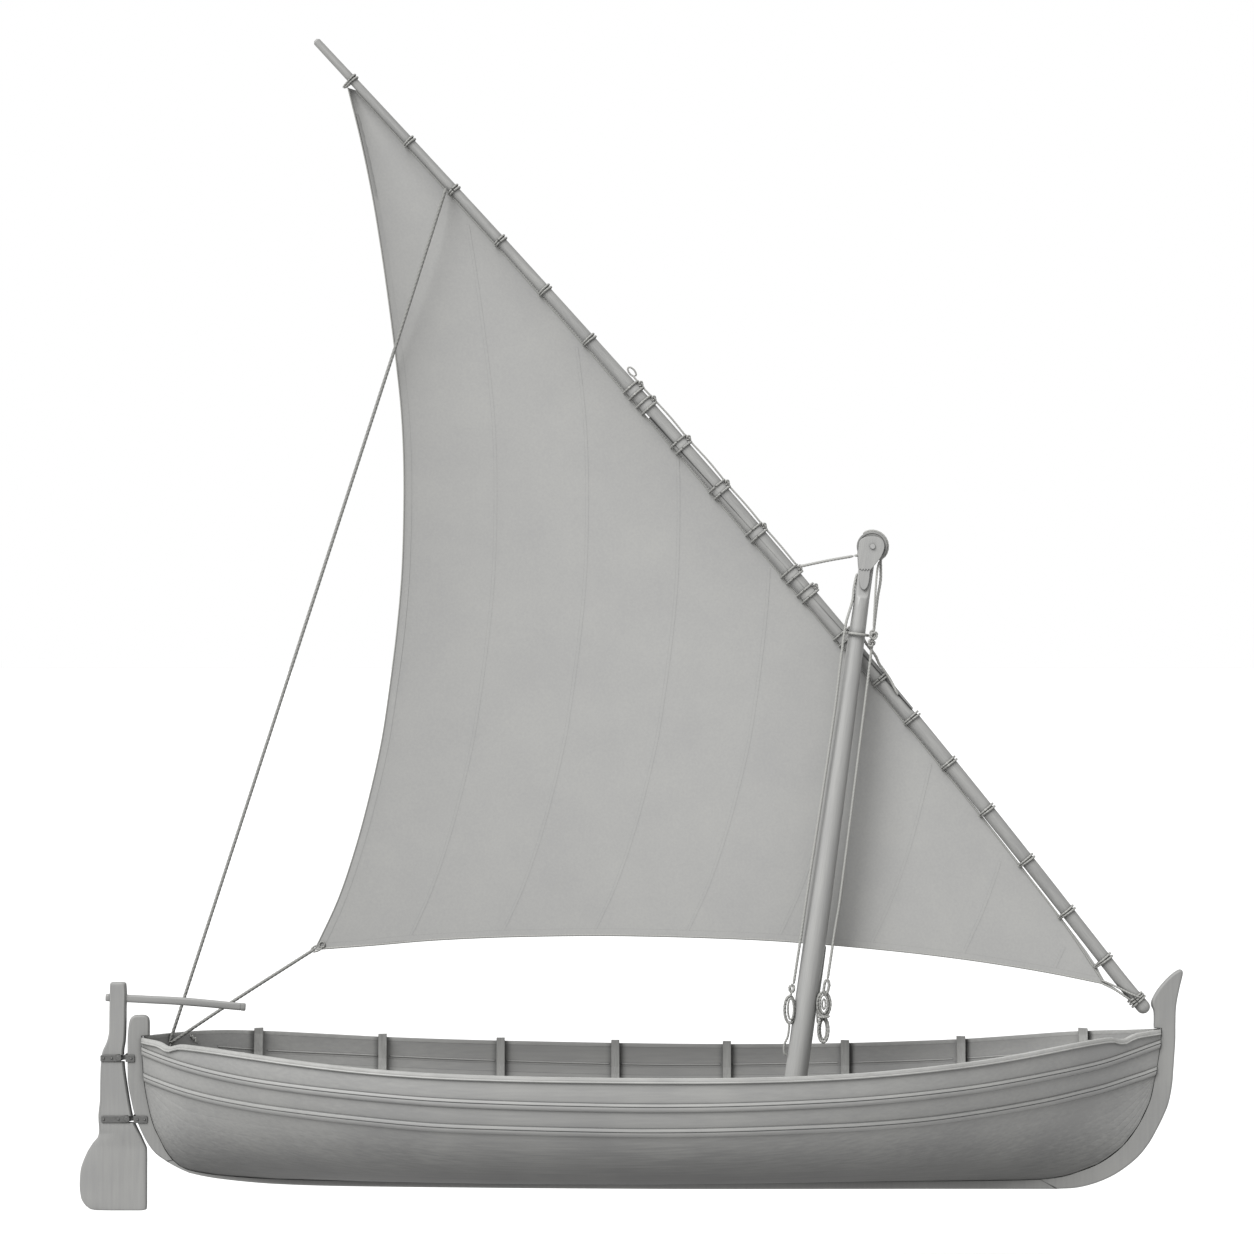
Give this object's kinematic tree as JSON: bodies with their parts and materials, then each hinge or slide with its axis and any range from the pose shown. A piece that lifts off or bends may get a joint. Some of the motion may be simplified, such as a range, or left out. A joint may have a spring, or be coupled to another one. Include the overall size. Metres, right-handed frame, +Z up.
{
  "type": "llaut sailing boat",
  "caption": "Double-ended open wooden fishing boat with a raked mast, one lateen sail on a long lashed yard, and a hung rudder with a tiller.",
  "frame": {"origin": "on the waterline at mid length of the hull, on the centre plane", "axes": "+X towards the bow, +Y to port, +Z up"},
  "size_m": [7.83, 2.5116, 8.3857],
  "materials": {
    "hull_paint": "satin paint over planed wood",
    "rail_paint": "satin paint over planed wood",
    "oiled_wood": "oiled wood",
    "iron": "galvanised",
    "canvas": "woven sailcloth",
    "rope": "laid fibre rope"
  },
  "bodies": {
    "hull": {"sheer_strake_port": "hull_paint", "upper_wale_port": "hull_paint", "mid_strake_port": "hull_paint", "lower_wale_port": "hull_paint", "bottom_planking_port": "hull_paint", "rail_cap_port": "rail_paint", "riser_port": "oiled_wood", "cheek_port": "hull_paint", "sheer_strake_starboard": "hull_paint", "upper_wale_starboard": "hull_paint", "mid_strake_starboard": "hull_paint", "lower_wale_starboard": "hull_paint", "bottom_planking_starboard": "hull_paint", "rail_cap_starboard": "rail_paint", "riser_starboard": "oiled_wood", "cheek_starboard": "hull_paint", "sternpost": "hull_paint", "keel": "hull_paint", "stem": "hull_paint", "mast": "hull_paint", "frame_1": "oiled_wood", "frame_2": "oiled_wood", "frame_3": "oiled_wood", "frame_4": "oiled_wood", "frame_5": "oiled_wood", "frame_6": "oiled_wood", "frame_7": "oiled_wood", "frame_8": "oiled_wood", "floorboards": "oiled_wood", "mast_thwart": "oiled_wood", "mid_thwart": "oiled_wood", "aft_thwart": "oiled_wood", "stern_bench": "oiled_wood", "mast_step": "oiled_wood", "sheave_pin": "iron", "gudgeon_upper": "iron", "gudgeon_lower": "iron", "halyard_fall": "rope", "aft_line": "rope"},
    "rudder": {"rudder": "hull_paint", "tiller": "oiled_wood", "pintle_upper": "iron", "pintle_lower": "iron"},
    "yard": {"yard_upper": "oiled_wood", "yard_lower": "oiled_wood", "sail": "canvas", "halyard_tie": "rope", "parrel": "rope"},
    "sheave": {"sheave": "oiled_wood"}
  },
  "joints": [
    {"name": "rudder_swing", "type": "hinge", "parent": "hull", "child": "rudder", "pos_m": [-3.763, 0, 0.618], "axis": [-0.1305, 0, 0.9914], "range_deg": [-30, 30]},
    {"name": "yard_swing", "type": "hinge", "parent": "hull", "child": "yard", "pos_m": [0.97238, 0, 0], "axis": [0.1367, 0, 0.9906], "range_deg": [-35, 35]},
    {"name": "sheave_turn", "type": "hinge", "parent": "hull", "child": "sheave", "pos_m": [1.57975, 0, 4.24935], "axis": [0, 1, 0], "continuous": true}
  ]
}
